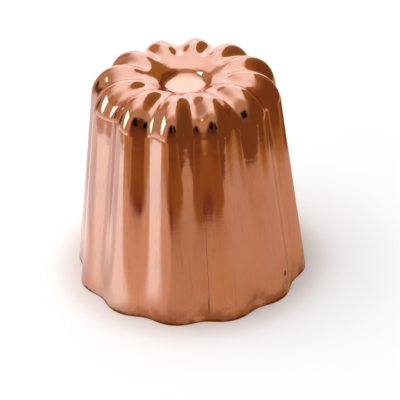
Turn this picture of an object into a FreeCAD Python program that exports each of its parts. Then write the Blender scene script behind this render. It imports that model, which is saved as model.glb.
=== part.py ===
import FreeCAD, Part
import math
import os
import Sketcher

# Fluted copper baking mould for one small cake, standing mouth down as it is stored.
# It is one piece of drawn sheet: a tapered cup whose ridges and grooves run up the wall, roll over
# the shoulder and die out at a shallow round dish in the middle of the crown.
# The origin is the centre of the mouth, in the plane that the rim stands on, and +Z is up.
# One ridge points along +X.

NODE = "fluted_mould"

# Driving sizes, in millimetres and degrees, with what each one means.
SIZES = {
    "flute_count": ("12", "ridges around the mould, with a groove between each two"),
    "mouth_diameter": ("55.0", "outside, across opposite ridges at the rim"),
    "crest_height": ("51.6", "from the rim to the highest line of the ridges"),
    "wall_lean": ("7.2", "how far the wall leans inwards from upright, degrees"),
    "rim_flute_depth": ("1.35", "how deep the grooves are at the rim"),
    "shoulder_flute_depth": ("1.8", "how deep they are where the wall meets the shoulder"),
    "flute_fade": ("3.5", "1 thins the grooves evenly over the crown, more keeps them deep for longer"),
    "ridge_fullness": ("0.3", "0 for an even wave, more for fuller ridges and tighter grooves"),
    "shoulder_radius": ("8.0", "outside radius where a ridge rolls over to the crown"),
    "crown_slope": ("23.5", "how the crown falls from the shoulder to the dish, degrees"),
    "dish_diameter": ("12.0", "across the dish, where its side meets the crown"),
    "dish_depth": ("1.1", "from the edge of the dish down to its floor"),
    "dish_side_slope": ("48.0", "how steeply the side of the dish falls, degrees"),
    "dish_lip_radius": ("1.8", "rounding where the crown turns down into the dish"),
    "dish_foot_radius": ("0.8", "rounding where the side of the dish meets its floor"),
    "sheet_thickness": ("1.0", "the copper sheet"),
    "rim_rounding": ("0.25", "rounding of the two edges of the cut rim"),
}

# The pieces of the profile sketch, in the order in which they are drawn, and the ends of a piece.
WALL, SHOULDER, CROWN, LIP, SIDE, FOOT, FLOOR, DISH_EDGE = range(8)
START, END, CENTRE = range(1, 4)
ORIGIN_POINT, VERTICAL_AXIS = -1, -2

# How finely the skins follow the form: stations along each curved or straight piece of the
# profile, and around one flute.
STATIONS = {WALL: 10, SHOULDER: 8, CROWN: 6, LIP: 3, SIDE: 2, FOOT: 3}
STATIONS_PER_FLUTE = 8
SKIN_DEGREE = 3
POLE_PASSES = 50

# An edge is level where its ends' heights differ by less than this.
LEVEL = 0.001

RIGHT_ANGLE = math.pi / 2


def make_sheet(doc):
    sheet = doc.addObject("Spreadsheet::Sheet", "sizes")
    for row, (alias, (number, meaning)) in enumerate(SIZES.items(), start=1):
        sheet.set(f"A{row}", alias)
        sheet.set(f"B{row}", number)
        sheet.set(f"C{row}", meaning)
        sheet.setAlias(f"B{row}", alias)
    doc.recompute()
    return sheet


def point(radius, height):
    return FreeCAD.Vector(radius, height, 0)


def along(angle):
    """Unit vector in the profile's plane, at an angle from straight outwards."""
    return point(math.cos(angle), math.sin(angle))


def arc(centre, radius, first, last):
    circle = Part.Circle(centre, FreeCAD.Vector(0, 0, 1), radius)
    return Part.ArcOfCircle(circle, first, last)


def profile_pieces(sizes):
    """Lines and arcs of a ridge's outer profile, from the rim inwards to the axis."""
    lean = math.radians(sizes.wall_lean)
    fall = math.radians(sizes.crown_slope)
    slope = math.radians(sizes.dish_side_slope)
    rim = point(sizes.mouth_diameter / 2, 0)

    height = sizes.crest_height - sizes.shoulder_radius
    inset = (sizes.shoulder_radius + height * math.sin(lean)) / math.cos(lean)
    shoulder = point(rim.x - inset, height)
    wall_top = shoulder + along(lean) * sizes.shoulder_radius
    crown_start = shoulder + along(RIGHT_ANGLE + fall) * sizes.shoulder_radius

    edge_run = crown_start.x - sizes.dish_diameter / 2
    edge = crown_start - point(edge_run, edge_run * math.tan(fall))

    lip_run = sizes.dish_lip_radius * math.tan((slope - fall) / 2)
    lip_start = edge + along(fall) * lip_run
    lip = lip_start - along(RIGHT_ANGLE + fall) * sizes.dish_lip_radius
    side_start = lip + along(RIGHT_ANGLE + slope) * sizes.dish_lip_radius

    foot_corner = edge - along(slope) * (sizes.dish_depth / math.sin(slope))
    foot_end = foot_corner - point(sizes.dish_foot_radius * math.tan(slope / 2), 0)
    foot = foot_end + point(0, sizes.dish_foot_radius)
    side_end = foot + along(slope - RIGHT_ANGLE) * sizes.dish_foot_radius

    return [
        Part.LineSegment(rim, wall_top),
        arc(shoulder, sizes.shoulder_radius, lean, RIGHT_ANGLE + fall),
        Part.LineSegment(crown_start, lip_start),
        arc(lip, sizes.dish_lip_radius, RIGHT_ANGLE + fall, RIGHT_ANGLE + slope),
        Part.LineSegment(side_start, side_end),
        arc(foot, sizes.dish_foot_radius, -RIGHT_ANGLE, slope - RIGHT_ANGLE),
        Part.LineSegment(foot_end, point(0, foot_end.y)),
    ], edge


def make_profile(body, sizes):
    """Sketch of a ridge's outer profile, with every size tied to the sheet."""
    doc = body.Document
    sketch = body.newObject("Sketcher::SketchObject", "ridge_profile")
    plane = next(f for f in body.Origin.OriginFeatures if f.Role == "XZ_Plane")
    sketch.AttachmentSupport = (plane, [""])
    sketch.MapMode = "FlatFace"
    doc.recompute()

    pieces, edge = profile_pieces(sizes)
    sketch.addGeometry(pieces, False)
    sketch.addGeometry(Part.Point(edge), True)

    joints = (
        (WALL, END, SHOULDER, START),
        (SHOULDER, END, CROWN, START),
        (CROWN, END, LIP, START),
        (LIP, END, SIDE, START),
        (SIDE, END, FOOT, END),
        (FOOT, START, FLOOR, START),
    )
    for joint in joints:
        sketch.addConstraint(Sketcher.Constraint("Tangent", *joint))
    sketch.addConstraint(
        [
            Sketcher.Constraint("Horizontal", FLOOR),
            Sketcher.Constraint("PointOnObject", FLOOR, END, VERTICAL_AXIS),
            Sketcher.Constraint("PointOnObject", WALL, START, ORIGIN_POINT),
            Sketcher.Constraint("PointOnObject", DISH_EDGE, START, CROWN),
            Sketcher.Constraint("PointOnObject", DISH_EDGE, START, SIDE),
        ]
    )

    def tie(name, expression, *constraint):
        index = sketch.addConstraint(Sketcher.Constraint(*constraint))
        sketch.renameConstraint(index, name)
        sketch.setExpression(f"Constraints.{name}", expression)

    tie(
        "rim_radius", "sizes.mouth_diameter / 2",
        "DistanceX", ORIGIN_POINT, START, WALL, START, sizes.mouth_diameter / 2,
    )
    tie(
        "wall_angle", "(90 + sizes.wall_lean) * 1 deg",
        "Angle", WALL, RIGHT_ANGLE + math.radians(sizes.wall_lean),
    )
    tie(
        "shoulder_radius", "sizes.shoulder_radius",
        "Radius", SHOULDER, sizes.shoulder_radius,
    )
    tie(
        "shoulder_height", "sizes.crest_height - sizes.shoulder_radius",
        "DistanceY", ORIGIN_POINT, START, SHOULDER, CENTRE, pieces[SHOULDER].Center.y,
    )
    tie(
        "crown_slope", "sizes.crown_slope * 1 deg",
        "Angle", FLOOR, END, CROWN, END, math.radians(sizes.crown_slope),
    )
    tie(
        "edge_radius", "sizes.dish_diameter / 2",
        "DistanceX", ORIGIN_POINT, START, DISH_EDGE, START, edge.x,
    )
    tie(
        "lip_radius", "sizes.dish_lip_radius",
        "Radius", LIP, sizes.dish_lip_radius,
    )
    tie(
        "side_slope", "sizes.dish_side_slope * 1 deg",
        "Angle", FLOOR, END, SIDE, END, math.radians(sizes.dish_side_slope),
    )
    tie(
        "dish_depth", "sizes.dish_depth",
        "DistanceY", FLOOR, END, DISH_EDGE, START, sizes.dish_depth,
    )
    tie(
        "foot_radius", "sizes.dish_foot_radius",
        "Radius", FOOT, sizes.dish_foot_radius,
    )
    doc.recompute()
    return sketch


def shares(number):
    """How far along a piece of the profile its stations lie, from 0 up to but not including 1."""
    steps = STATIONS[number]
    return [step / steps for step in range(steps)]


def at(piece, share):
    return piece.value(piece.FirstParameter + share * (piece.LastParameter - piece.FirstParameter))


def stations(sketch, sizes):
    """Places along the profile, each with the step that leads down from the ridge to the groove."""
    pieces = sketch.Geometry
    lean = math.radians(sizes.wall_lean)
    over = RIGHT_ANGLE + math.radians(sizes.crown_slope)
    shoulder_length = pieces[SHOULDER].length()
    fading_length = shoulder_length + pieces[CROWN].length()
    no_step = point(0, 0)
    found = []

    # The stations crowd together towards the shoulder, where the straight wall starts to curve.
    # At the rim the grooves sink straight inwards, so that they end in the plane of the mouth.
    for share in shares(WALL):
        share = math.sin(share * RIGHT_ANGLE)
        deeper = sizes.shoulder_flute_depth - sizes.rim_flute_depth
        depth = sizes.rim_flute_depth + share * deeper
        found.append((at(pieces[WALL], share), along(share * lean) * -depth))

    for share in shares(SHOULDER):
        faded = (share * shoulder_length / fading_length) ** sizes.flute_fade
        depth = sizes.shoulder_flute_depth * (1 - faded)
        found.append((at(pieces[SHOULDER], share), along(lean + share * (over - lean)) * -depth))

    for share in shares(CROWN):
        travelled = shoulder_length + share * pieces[CROWN].length()
        depth = sizes.shoulder_flute_depth * (1 - (travelled / fading_length) ** sizes.flute_fade)
        found.append((at(pieces[CROWN], share), along(over) * -depth))

    for number in (LIP, SIDE):
        for share in shares(number):
            found.append((at(pieces[number], share), no_step))
    for share in shares(FOOT):
        found.append((at(pieces[FOOT], 1 - share), no_step))
    found.append((pieces[FLOOR].StartPoint, no_step))
    return found


def fullness(angle, sizes):
    """1 on a ridge, 0 in a groove, and a smooth wave between them."""
    wave = (1 + math.cos(sizes.flute_count * angle)) / 2
    return wave + sizes.ridge_fullness * wave * (1 - wave)


def fluted_ring(place, step_down, sizes):
    """Points around the mould, level with one station of the profile."""
    count = STATIONS_PER_FLUTE * int(sizes.flute_count)
    ring = []
    for number in range(count):
        angle = 2 * math.pi * number / count
        here = place + step_down * (1 - fullness(angle, sizes))
        ring.append(FreeCAD.Vector(here.x * math.cos(angle), here.x * math.sin(angle), here.y))
    return ring


def closed_poles(points):
    """Poles of the evenly spaced closed cubic that passes through the points.

    Such a curve passes a sixth of the way between a pole and those on both sides of it, so that
    each pass below halves what is left of the error at least. The first pole lies one place
    early, which lets the curve start at the first point.
    """
    poles = list(points)
    for _ in range(POLE_PASSES):
        before = poles[-1:] + poles[:-1]
        after = poles[1:] + poles[:1]
        poles = [(6 * p - b - a) / 4 for p, b, a in zip(points, before, after)]
    return poles[-1:] + poles[:-1]


def lengths(rings):
    """Distance along the first ridge, from the first ring to each of them."""
    reached = [0.0]
    for here, after in zip(rings, rings[1:]):
        reached.append(reached[-1] + (after[0] - here[0]).Length)
    return reached


def skin(rings):
    """Smooth surface through every ring, closed on itself around the axis.

    It leaves the rim straight along the wall and runs level into the floor of the dish.
    """
    reached = lengths(rings)
    columns = []
    for poles in zip(*(closed_poles(ring) for ring in rings)):
        column = Part.BSplineCurve()
        column.interpolate(
            Points=list(poles),
            Parameters=reached,
            InitialTangent=(poles[1] - poles[0]) / (reached[1] - reached[0]),
            FinalTangent=FreeCAD.Vector(-poles[-1].x, -poles[-1].y, 0).normalize(),
        )
        columns.append(column)
    around = list(range(len(columns) + 1))
    surface = Part.BSplineSurface()
    surface.buildFromPolesMultsKnots(
        [list(row) for row in zip(*(column.getPoles() for column in columns))],
        columns[0].getMultiplicities(),
        [1] * len(around),
        columns[0].getKnots(),
        around,
        False,
        True,
        SKIN_DEGREE,
        SKIN_DEGREE,
    )
    return surface


def set_in(surface, rings, thickness):
    """The outer rings moved inwards by the thickness of the sheet, the rim's along its own plane."""
    moved = []
    for number, (ring, distance) in enumerate(zip(rings, lengths(rings))):
        inwards = [surface.normal(distance, around) for around in range(len(ring))]
        if number == 0:
            level = [FreeCAD.Vector(n.x, n.y, 0) for n in inwards]
            inwards = [n / n.dot(n) for n in level]
        moved.append([place + n * thickness for place, n in zip(ring, inwards)])
    return moved


def end_wires(face):
    """The closed edges at the two ends of a skin: at the rim, and around the floor of the dish."""
    level = [edge for edge in face.Edges if edge.BoundBox.ZLength < LEVEL]
    level.sort(key=lambda edge: edge.BoundBox.ZMin)
    return [Part.Wire([edge]) for edge in level]


def drawn_sheet(sketch, sizes):
    """The whole sheet as one closed solid, its rim still cut square."""
    rings = [fluted_ring(place, step_down, sizes) for place, step_down in stations(sketch, sizes)]
    outer = skin(rings)
    inner = skin(set_in(outer, rings, sizes.sheet_thickness))

    outer_face = outer.toShape()
    inner_face = inner.toShape()
    outer_rim, outer_floor = end_wires(outer_face)
    inner_rim, inner_floor = end_wires(inner_face)
    rim = Part.makeFace([outer_rim, inner_rim], "Part::FaceMakerBullseye")
    floors = [Part.Face(outer_floor), Part.Face(inner_floor)]
    shell = Part.makeShell([outer_face, inner_face, rim, *floors])
    shell.sewShape()
    shell.reverse()
    return Part.makeSolid(shell)


def make_mould(doc, sizes):
    """The sheet as a body: the profile it follows, the drawn sheet, and its rim's edges rounded.

    Grooves that climb the wall and roll over onto the crown are no pad, revolution or loft, so
    the sheet itself is laid on the profile by the functions above.
    """
    body = doc.addObject("PartDesign::Body", NODE)
    body.Label = NODE
    profile = make_profile(body, sizes)

    sheet = doc.addObject("Part::Feature", "drawn_sheet")
    sheet.Shape = drawn_sheet(profile, sizes)
    body.BaseFeature = sheet
    doc.recompute()

    drawn = body.Tip
    rim_edges = [
        f"Edge{number}"
        for number, edge in enumerate(drawn.Shape.Edges, start=1)
        if edge.BoundBox.ZMax < LEVEL
    ]
    rounding = body.newObject("PartDesign::Fillet", "rim_edges")
    rounding.Base = (drawn, rim_edges)
    rounding.setExpression("Radius", "sizes.rim_rounding")
    body.Placement = FreeCAD.Placement()
    doc.recompute()
    return body


def check(doc, bodies):
    for item in doc.Objects:
        if "Invalid" in item.State or "Error" in item.State:
            raise RuntimeError(f"{item.Name} failed: {item.State}")
    for body in bodies:
        if body.Shape.isNull() or not body.Shape.isValid():
            raise RuntimeError(f"{body.Label} has no valid shape")
        if len(body.Shape.Solids) != 1:
            raise RuntimeError(f"{body.Label} is {len(body.Shape.Solids)} solids, not one")


def write(bodies):
    os.makedirs("parts", exist_ok=True)
    for body in bodies:
        body.Shape.exportStep(f"parts/{body.Label}.step")
        print(body.Label, round(body.Shape.Volume, 1), "mm3")


doc = FreeCAD.newDocument(NODE)
bodies = [make_mould(doc, make_sheet(doc))]
check(doc, bodies)
write(bodies)
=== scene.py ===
import bpy
import math
from mathutils import Matrix, Vector


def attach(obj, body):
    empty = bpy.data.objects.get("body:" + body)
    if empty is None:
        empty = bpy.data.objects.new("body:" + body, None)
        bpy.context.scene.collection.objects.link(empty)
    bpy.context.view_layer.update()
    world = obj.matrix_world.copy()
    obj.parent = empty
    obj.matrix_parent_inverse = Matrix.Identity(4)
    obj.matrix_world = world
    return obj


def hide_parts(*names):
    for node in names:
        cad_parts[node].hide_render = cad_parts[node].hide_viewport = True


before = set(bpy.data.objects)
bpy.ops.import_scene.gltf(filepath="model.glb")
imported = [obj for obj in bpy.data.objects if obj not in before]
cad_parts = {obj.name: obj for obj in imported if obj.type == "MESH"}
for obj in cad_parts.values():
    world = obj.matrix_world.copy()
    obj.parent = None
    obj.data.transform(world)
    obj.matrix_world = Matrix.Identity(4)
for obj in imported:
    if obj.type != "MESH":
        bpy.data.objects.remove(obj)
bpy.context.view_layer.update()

bl_info = {
    "name": "Fluted copper mould",
    "version": (1, 0, 0),
    "blender": (4, 5, 0),
    "location": "View3D > Sidebar > Mould",
    "description": "A fluted copper baking mould standing mouth down, and the studio it is shown in",
    "category": "Object",
}

NODE = "fluted_mould"
RIGHT_ANGLE = math.pi / 2
TURN = 2 * math.pi


# The kinds of property that repeat, each with its name, its description and its default.

def a_length(name, description, default):
    return bpy.props.FloatProperty(
        name=name, description=description, default=default, unit="LENGTH"
    )


def an_angle(name, description, degrees):
    return bpy.props.FloatProperty(
        name=name, description=description, default=math.radians(degrees), subtype="ANGLE"
    )


def a_share(name, description, default):
    return bpy.props.FloatProperty(
        name=name, description=description, default=default, subtype="FACTOR", min=0, max=1
    )


def a_colour(name, description, default, most=1):
    return bpy.props.FloatVectorProperty(
        name=name, description=description, default=default, subtype="COLOR", size=3, min=0, max=most
    )


class MouldSizes(bpy.types.PropertyGroup):
    """Sizes of the mould. The grooves' fade and end, the dish and the unevenness are finer here."""

    flute_count: bpy.props.IntProperty(
        name="Flutes", description="Ridges around the mould", default=12, min=3
    )
    mouth_diameter: a_length("Mouth", "Across opposite ridges at the rim", 0.055)
    crest_height: a_length("Height", "From the rim to the highest line of the ridges", 0.0516)
    wall_lean: an_angle("Lean", "How far the wall leans inwards from upright", 7.2)
    rim_flute_depth: a_length("Depth at the rim", "How deep the grooves are at the rim", 0.00135)
    shoulder_flute_depth: a_length(
        "Depth at the shoulder", "How deep the grooves are at the shoulder", 0.0018
    )
    flute_fade: bpy.props.FloatProperty(
        name="Fade", description="1 thins the grooves evenly over the crown, more keeps them deep",
        default=5.0,
    )
    flute_end: a_length(
        "End of the grooves", "How far before the dish the grooves have died out", 0.0030
    )
    ridge_fullness: bpy.props.FloatProperty(
        name="Fullness", description="0 for an even wave, more for fuller ridges", default=0.3
    )
    shoulder_radius: a_length("Shoulder", "Outside radius where a ridge rolls over to the crown", 0.008)
    crown_slope: an_angle("Crown slope", "How the crown falls from the shoulder to the dish", 23.5)
    dish_diameter: a_length("Dish", "Across the dish, where its side meets the crown", 0.0116)
    dish_depth: a_length("Dish depth", "From the edge of the dish down to its floor", 0.0014)
    dish_side_slope: an_angle("Dish side", "How steeply the side of the dish falls", 52.0)
    dish_lip_radius: a_length("Dish lip", "Rounding where the crown turns down into the dish", 0.0025)
    dish_foot_radius: a_length(
        "Dish foot", "Rounding where the side of the dish meets its floor", 0.0020
    )
    sheet_thickness: a_length("Sheet", "Thickness of the copper sheet", 0.001)
    rim_rounding: a_length("Rim rounding", "Rounding of the two edges of the cut rim", 0.00025)
    unevenness: a_length(
        "Unevenness", "How far hand finishing leaves the sheet from its true form", 0.00006
    )


class CopperFinish(bpy.types.PropertyGroup):
    """Colours and finishes of the mould's outside and inside."""

    polished_colour: a_colour("Polished", "Copper at the crown, fully polished", (0.876, 0.50, 0.38))
    drawn_colour: a_colour("Drawn", "Copper low on the wall, still as it was drawn", (0.86, 0.47, 0.34))
    haze_colour: a_colour("Haze", "Copper where the polish is duller", (0.80, 0.47, 0.38))
    haze: a_share("Haze share", "How strongly the duller clouds show", 0.8)
    line_colour: a_colour("Lines", "Copper in the fine lines up the wall", (0.62, 0.29, 0.18))
    # Partly real oxide, partly painted shade at the mould's foot.
    stain_and_shade_colour: a_colour("Stain", "Brown film above the rim", (0.42, 0.16, 0.06))
    rim_stain_and_shade: a_share("Rim stain", "How strongly the brown film above the rim shows", 0.9)
    tarnish_colour: a_colour("Tarnish", "Oxide along the rim and in scratches", (0.20, 0.062, 0.018))
    lining_colour: a_colour("Lining", "The tinned inside", (0.62, 0.61, 0.58))
    polished_roughness: a_share("Polished roughness", "Roughness of the crown", 0.06)
    drawn_roughness: a_share("Drawn roughness", "Roughness low on the wall", 0.17)
    lining_roughness: a_share("Lining roughness", "Roughness of the tinned inside", 0.38)


class StudioSet(bpy.types.PropertyGroup):
    """The camera and the surroundings that the copper reflects."""

    camera_distance: a_length("Distance", "From the camera to the point it looks at", 0.40868)
    camera_height_angle: an_angle("Camera elevation", "How far the camera looks down", 31.87)
    camera_turn: an_angle("Camera turn", "The camera's place around the mould, from the front", 9.81)
    camera_roll: an_angle("Camera roll", "Tilt of the picture", -1.885)
    camera_lens: bpy.props.FloatProperty(
        name="Lens", description="Focal length in millimetres", default=155.84
    )
    target_side: a_length(
        "Target to the side", "The point looked at, to the right of the axis", 0.00249
    )
    target_height: a_length("Target height", "Height of the point looked at", 0.0167)
    room_reach: a_length("Room", "From the mould to the cards around it", 2.5)
    table_reach: a_length("Table", "How far around the mould the table is set out", 0.2)
    floor_reach: a_length("Floor", "From the middle of the floor to its edge", 3.0)
    floor_colour: a_colour("Floor colour", "The floor under the mould", (0.92, 0.92, 0.92))
    # Painted shade and painted warm bounce light: the darker, warm colour of the floor right around the
    # mould.
    painted_floor_shade_colour: a_colour(
        "Floor at the mould", "The floor beside the mould, warm with copper light", (0.74, 0.66, 0.63)
    )
    painted_floor_shade_reach: a_length("Warm floor", "From the axis to where the floor is plain again", 0.036)
    floor_lift: bpy.props.FloatProperty(
        name="Floor lift", description="What brings the floor near the mould up to white",
        default=0.12, min=0,
    )
    far_lift: bpy.props.FloatProperty(
        name="Far floor lift", description="What brings the floor far from the mould up to white",
        default=0.6, min=0,
    )
    near_floor: a_length("Near floor", "From the mould to where the far floor begins", 0.08)
    far_floor: a_length("Far floor", "From the mould to where the floor is white throughout", 0.7)
    world_light: bpy.props.FloatProperty(
        name="Room light", description="Even light from all around", default=0.38, min=0, max=1
    )
    lamp_side: an_angle(
        "Lamp side", "Where the soft lamp stands, to the right of the camera's side", -88.0
    )
    lamp_rise: an_angle("Lamp height angle", "How high the soft lamp stands, seen from the mould", 76.0)
    lamp_distance: a_length("Lamp distance", "From the mould to the soft lamp", 1.2)
    lamp_size: a_length("Lamp size", "Across the soft lamp", 1.2)
    lamp_power: bpy.props.FloatProperty(
        name="Lamp power", description="Power of the soft lamp in watts", default=11.6, min=0
    )
    overhead_colour: a_colour(
        "Overhead", "The white screen above and behind the mould", (1.12, 1.11, 1.07), most=2
    )
    table_colour: a_colour(
        "Table colour", "The table in front of the mould, as the copper shows it", (0.57, 0.36, 0.21)
    )


# Helpers for node trees.

NUMBER = "NodeSocketFloat"
VECTOR = "NodeSocketVector"
COLOUR = "NodeSocketColor"
GEOMETRY = "NodeSocketGeometry"
MATERIAL = "NodeSocketMaterial"
POSITION = ("Position", VECTOR, None)

# A Mix node's numbered sockets for each kind of value: the first, the second and the result.
MIX_SOCKETS = {"VECTOR": (4, 5, 1), "RGBA": (6, 7, 2)}

# A Compare node's numbered sockets for two whole numbers.
WHOLE_FIRST, WHOLE_SECOND = 2, 3

NOISE_MIDDLE = 0.5


def feed(tree, socket, value):
    """Sets an input to a plain value, or links it to an output."""
    if isinstance(value, bpy.types.NodeSocket):
        tree.links.new(value, socket)
    else:
        socket.default_value = value


def add(tree, kind, inputs=None, **settings):
    """A new node with its settings, and with its inputs fed by name or number."""
    made = tree.nodes.new(kind)
    for name, value in settings.items():
        setattr(made, name, value)
    for name, value in (inputs or {}).items():
        feed(tree, made.inputs[name], value)
    return made


def calc(tree, operation, *values):
    made = add(tree, "ShaderNodeMath", dict(enumerate(values)), operation=operation)
    return made.outputs[0]


def vector(tree, operation, first, second):
    made = add(tree, "ShaderNodeVectorMath", {0: first}, operation=operation)
    feed(tree, made.inputs["Scale" if operation == "SCALE" else 1], second)
    return made.outputs[0]


def measure(tree, operation, *vectors):
    """A number from vectors: a dot product, a distance or a length."""
    inputs = dict(enumerate(vectors))
    return add(tree, "ShaderNodeVectorMath", inputs, operation=operation).outputs["Value"]


def between(tree, value, low, high, smooth=True):
    """0 where the value is at the first limit, 1 at the second."""
    made = add(
        tree, "ShaderNodeMapRange", {"Value": value, "From Min": low, "From Max": high},
        interpolation_type="SMOOTHSTEP" if smooth else "LINEAR", clamp=True,
    )
    return made.outputs["Result"]


def combine(tree, x, y, z):
    return add(tree, "ShaderNodeCombineXYZ", {0: x, 1: y, 2: z}).outputs[0]


def parts_of(tree, value):
    return add(tree, "ShaderNodeSeparateXYZ", {0: value}).outputs


def mixed(tree, factor, first, second, kind="RGBA"):
    """A colour between two colours, or a vector between two vectors."""
    one, other, result = MIX_SOCKETS[kind]
    made = add(tree, "ShaderNodeMix", {"Factor": factor, one: first, other: second}, data_type=kind)
    return made.outputs[result]


def noise(tree, place, scale, detail, roughness=0.5):
    """Noise from 0 to 1."""
    inputs = {"Vector": place, "Scale": scale, "Detail": detail, "Roughness": roughness}
    return add(tree, "ShaderNodeTexNoise", inputs).outputs[0]


def add_sockets(tree, sockets, side):
    """New inputs or outputs of a group: each a name, a kind and a default or None."""
    for name, kind, default in sockets:
        made = tree.interface.new_socket(name, in_out=side, socket_type=kind)
        if default is not None:
            made.default_value = default


# The mould: a ridge's profile, rounded, turned around the axis with its grooves, and given its
# thickness.

SHELL_INPUTS = (
    ("Corners", GEOMETRY, None),
    ("Flutes", NUMBER, 0.0),
    ("Wall length", NUMBER, 0.0),
    ("Fading length", NUMBER, 0.0),
    ("Depth at the rim", NUMBER, 0.0),
    ("Depth at the shoulder", NUMBER, 0.0),
    ("Fade", NUMBER, 0.0),
    ("Fullness", NUMBER, 0.0),
    ("Thickness", NUMBER, 0.0),
    ("Unevenness", NUMBER, 0.0),
    ("Outside", MATERIAL, None),
    ("Inside", MATERIAL, None),
)
COLUMNS_PER_FLUTE = 32
ROW_SPACING = 0.0011
MERGE_DISTANCE = 0.000002

# How close the waves of hand finishing lie, and how far above the rim they are at their full height.
UNEVEN_SCALE = 90.0
UNEVEN_DETAIL = 1.0
UNEVEN_START = 0.004

RIM_BEVEL_STEPS = 3
RIM_BEVEL_ANGLE = math.radians(60)

# Points along the rounding of each of the profile's corners, from the rim to the axis.
CORNER_STEPS = (0, 30, 6, 6, 0)
CORNER_RADIUS = "corner_radius"
CORNER_COUNT = "corner_count"


def corners(sizes):
    """Corners of a ridge's profile with their radii, and how far along it the grooves run."""
    lean = sizes.wall_lean
    fall = sizes.crown_slope
    slope = sizes.dish_side_slope
    rim = Vector((sizes.mouth_diameter / 2, 0, 0))

    height = sizes.crest_height - sizes.shoulder_radius
    inset = (sizes.shoulder_radius + height * math.sin(lean)) / math.cos(lean)
    centre = Vector((rim.x - inset, 0, height))
    wall_top = centre + along(lean) * sizes.shoulder_radius
    crown_start = centre + along(RIGHT_ANGLE + fall) * sizes.shoulder_radius
    half_turn = (RIGHT_ANGLE + fall - lean) / 2
    shoulder = wall_top + along(RIGHT_ANGLE + lean) * sizes.shoulder_radius * math.tan(half_turn)

    run = crown_start.x - sizes.dish_diameter / 2
    edge = crown_start - Vector((run, 0, run * math.tan(fall)))
    foot = edge - along(slope) * (sizes.dish_depth / math.sin(slope))
    axis = Vector((0, 0, foot.z))

    lip_run = sizes.dish_lip_radius * math.tan((slope - fall) / 2)
    wall_length = (wall_top - rim).length
    fading_length = sizes.shoulder_radius * 2 * half_turn + (crown_start - edge).length
    fading_length -= lip_run + sizes.flute_end
    radii = (0, sizes.shoulder_radius, sizes.dish_lip_radius, sizes.dish_foot_radius, 0)
    return (rim, shoulder, edge, foot, axis), radii, wall_length, fading_length


def along(angle):
    """Unit vector in the profile's plane, at an angle from straight outwards."""
    return Vector((math.cos(angle), 0, math.sin(angle)))


def rounded_profile(tree, given):
    """The profile as a curve, its corners rounded and its straight runs divided into rows."""
    radius = add(tree, "GeometryNodeInputNamedAttribute", {"Name": CORNER_RADIUS}, data_type="FLOAT")
    count = add(tree, "GeometryNodeInputNamedAttribute", {"Name": CORNER_COUNT}, data_type="INT")
    line = add(tree, "GeometryNodeMeshToCurve", {"Mesh": given["Corners"]})
    rounded = add(
        tree, "GeometryNodeFilletCurve",
        {"Curve": line.outputs[0], "Count": count.outputs[0], "Radius": radius.outputs[0]},
        mode="POLY",
    )
    travelled = add(tree, "GeometryNodeSplineParameter").outputs["Length"]
    index = add(tree, "GeometryNodeInputIndex").outputs[0]
    following = add(
        tree, "GeometryNodeFieldAtIndex", {"Index": calc(tree, "ADD", index, 1), "Value": travelled},
        domain="POINT", data_type="FLOAT",
    ).outputs[0]
    run = calc(tree, "MAXIMUM", calc(tree, "SUBTRACT", following, travelled), 0)
    cuts = calc(tree, "FLOOR", calc(tree, "DIVIDE", run, ROW_SPACING))
    divided = add(
        tree, "GeometryNodeSubdivideCurve", {"Curve": rounded.outputs[0], "Cuts": cuts}
    )
    return divided.outputs[0]


def groove_step(tree, given):
    """The step from the ridge down to the groove, at each point of the profile."""
    travelled = add(tree, "GeometryNodeSplineParameter").outputs["Length"]
    tangent = parts_of(tree, add(tree, "GeometryNodeInputTangent").outputs[0])
    outward = combine(tree, tangent[2], 0, calc(tree, "MULTIPLY", tangent[0], -1))
    up_wall = between(tree, travelled, 0, given["Wall length"], smooth=False)
    level = Vector((1, 0, 0))
    way = mixed(tree, up_wall, level, outward, kind="VECTOR")

    past_wall = calc(tree, "SUBTRACT", travelled, given["Wall length"])
    share = between(tree, past_wall, 0, given["Fading length"], smooth=False)
    left = calc(tree, "SUBTRACT", 1, calc(tree, "POWER", share, given["Fade"]))
    deeper = calc(tree, "SUBTRACT", given["Depth at the shoulder"], given["Depth at the rim"])
    depth = calc(tree, "MULTIPLY_ADD", deeper, up_wall, given["Depth at the rim"])
    return vector(tree, "SCALE", way, calc(tree, "MULTIPLY", calc(tree, "MULTIPLY", depth, left), -1))


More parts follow.
